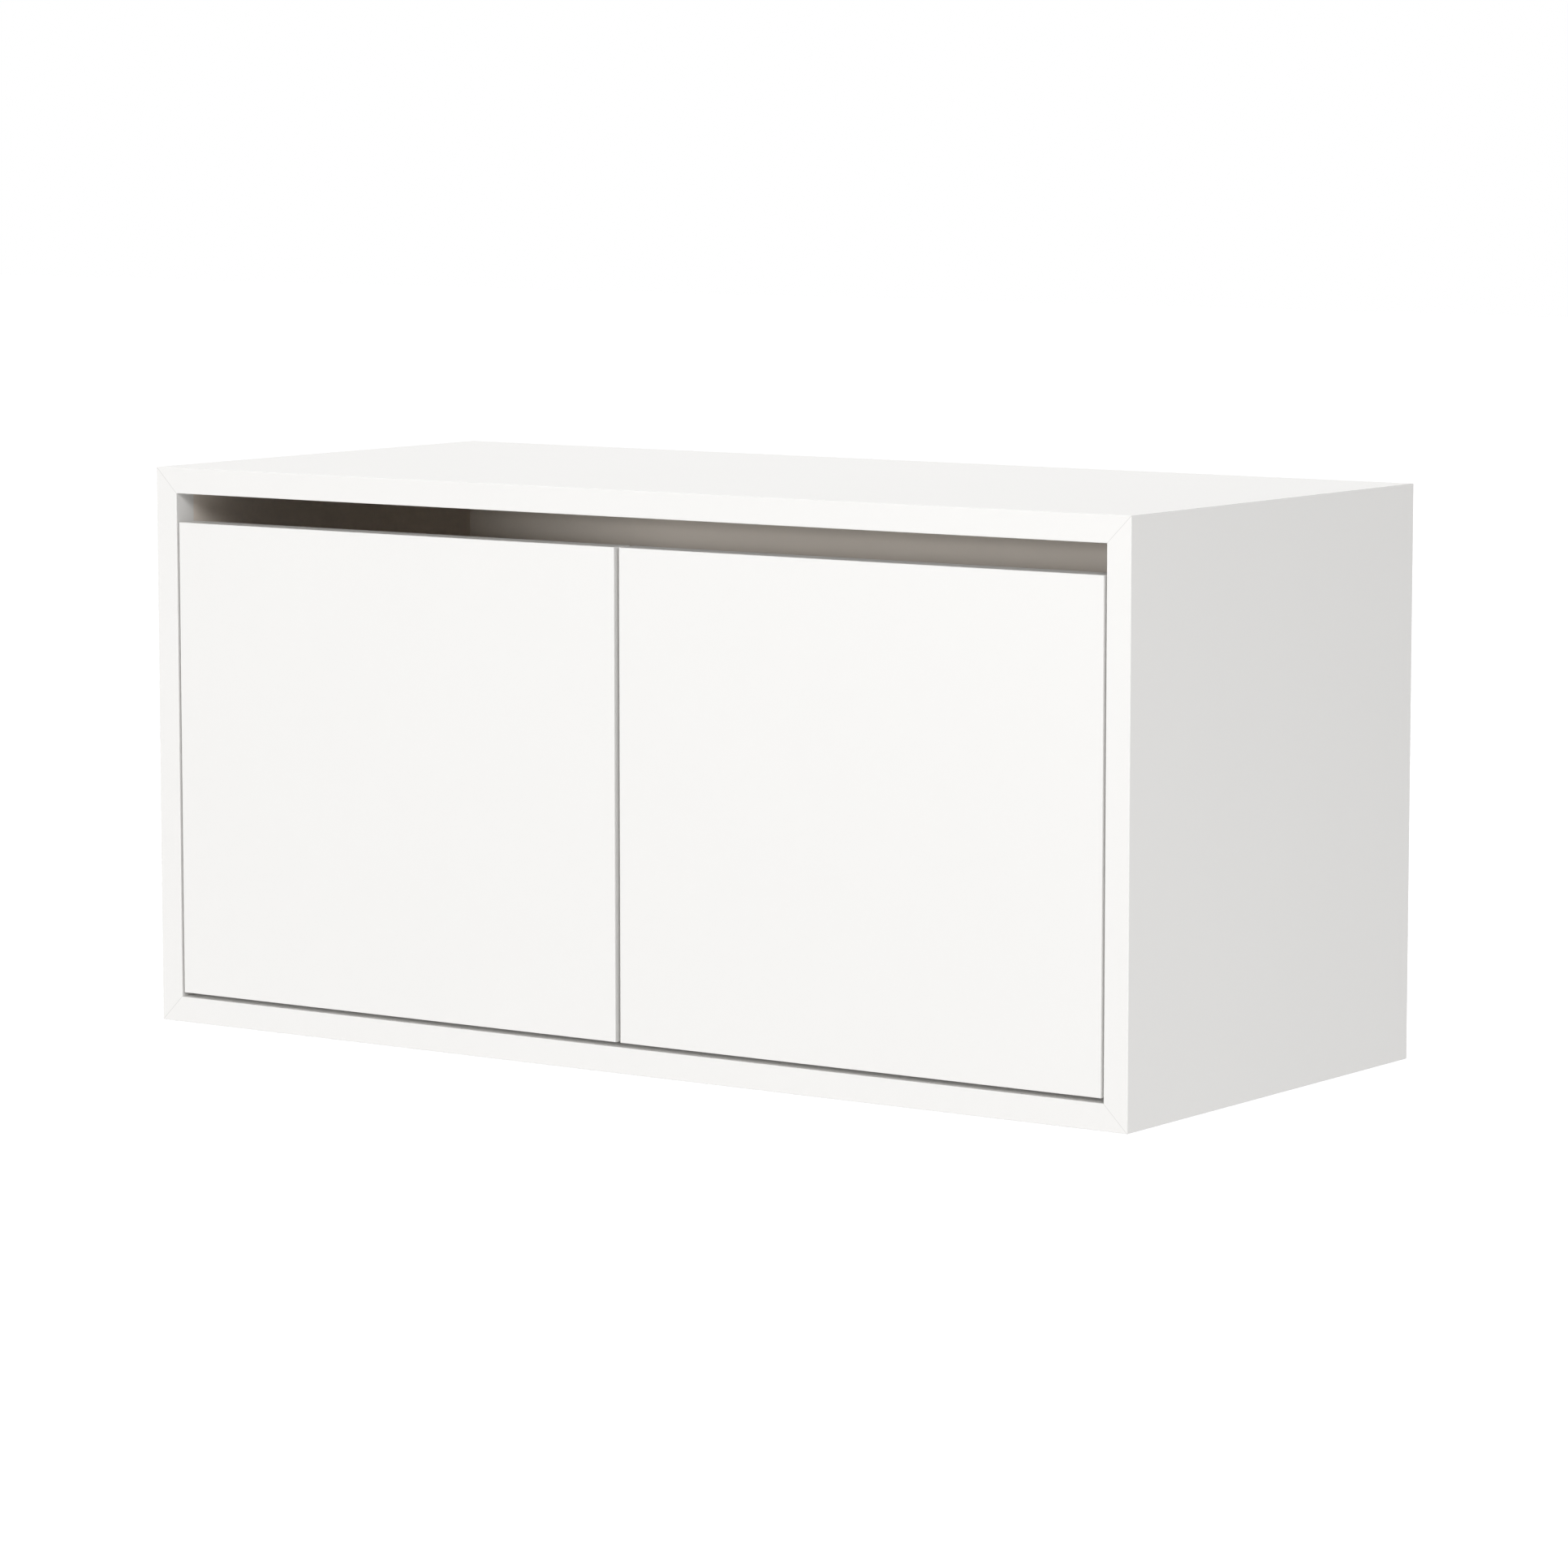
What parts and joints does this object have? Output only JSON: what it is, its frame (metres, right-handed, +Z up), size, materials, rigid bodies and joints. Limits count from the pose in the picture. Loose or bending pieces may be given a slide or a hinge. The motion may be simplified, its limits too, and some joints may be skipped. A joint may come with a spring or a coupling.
{
  "type": "hanging wall cabinet",
  "caption": "White hanging wall cabinet with mitred boards, inset doors on concealed hinges, a finger gap above the doors and a hook-on wall rail.",
  "frame": {"origin": "middle of the wall rail's outer screw holes, on the wall face", "axes": "+X along the width, +Y into the wall, +Z up; the doors face -Y"},
  "size_m": [0.8, 0.356, 0.39],
  "materials": {
    "white_lacquer": "satin white lacquer on board, crisp edges",
    "white_back_board": "matt white coated board",
    "beech_wood": "plain beech plywood",
    "nickel_plate": "nickel plate, satin",
    "zinc_plate": "bright zinc plate on pressed steel"
  },
  "bodies": {
    "cabinet": {"top_panel": "white_lacquer", "bottom_panel": "white_lacquer", "left_side_panel": "white_lacquer", "right_side_panel": "white_lacquer", "shelf": "white_lacquer", "back_panel": "white_back_board", "mitre_splines": "beech_wood", "shelf_pins": "nickel_plate", "wall_rail": "zinc_plate", "left_hanger": "zinc_plate", "right_hanger": "zinc_plate", "left_hinge_arms": "nickel_plate", "left_mounting_plates": "nickel_plate", "right_hinge_arms": "nickel_plate", "right_mounting_plates": "nickel_plate"},
    "left_inner_links": {"left_inner_links": "nickel_plate"},
    "left_door": {"left_door": "white_lacquer", "left_hinge_cups": "nickel_plate"},
    "left_outer_links": {"left_outer_links": "nickel_plate"},
    "right_inner_links": {"right_inner_links": "nickel_plate"},
    "right_door": {"right_door": "white_lacquer", "right_hinge_cups": "nickel_plate"},
    "right_outer_links": {"right_outer_links": "nickel_plate"}
  },
  "joints": [
    {"name": "left_inner_link_pivot", "type": "hinge", "parent": "cabinet", "child": "left_inner_links", "pos_m": [-0.3466, -0.3291, -0.1415], "axis": [0, 0, 1], "range_deg": [0, 12.91]},
    {"name": "left_door_swing", "type": "hinge", "parent": "left_inner_links", "child": "left_door", "pos_m": [-0.3651, -0.3462, -0.1415], "axis": [0, 0, -1], "range_deg": [0, 107.91]},
    {"name": "left_outer_link_pivot", "type": "hinge", "parent": "left_door", "child": "left_outer_links", "pos_m": [-0.3638, -0.3417, -0.1415], "axis": [0, 0, 1], "range_deg": [0, 128.71]},
    {"name": "right_inner_link_pivot", "type": "hinge", "parent": "cabinet", "child": "right_inner_links", "pos_m": [0.3466, -0.3291, -0.1415], "axis": [0, 0, -1], "range_deg": [0, 12.91]},
    {"name": "right_door_swing", "type": "hinge", "parent": "right_inner_links", "child": "right_door", "pos_m": [0.3651, -0.3462, -0.1415], "axis": [0, 0, 1], "range_deg": [0, 107.91]},
    {"name": "right_outer_link_pivot", "type": "hinge", "parent": "right_door", "child": "right_outer_links", "pos_m": [0.3638, -0.3417, -0.1415], "axis": [0, 0, -1], "range_deg": [0, 128.71]}
  ],
  "couplings": [
    {"joint": "left_inner_link_pivot", "follows": "left_door_swing", "ratio": 0.1196},
    {"joint": "left_outer_link_pivot", "follows": "left_door_swing", "ratio": 1.1927},
    {"joint": "right_inner_link_pivot", "follows": "right_door_swing", "ratio": 0.1196},
    {"joint": "right_outer_link_pivot", "follows": "right_door_swing", "ratio": 1.1927}
  ]
}
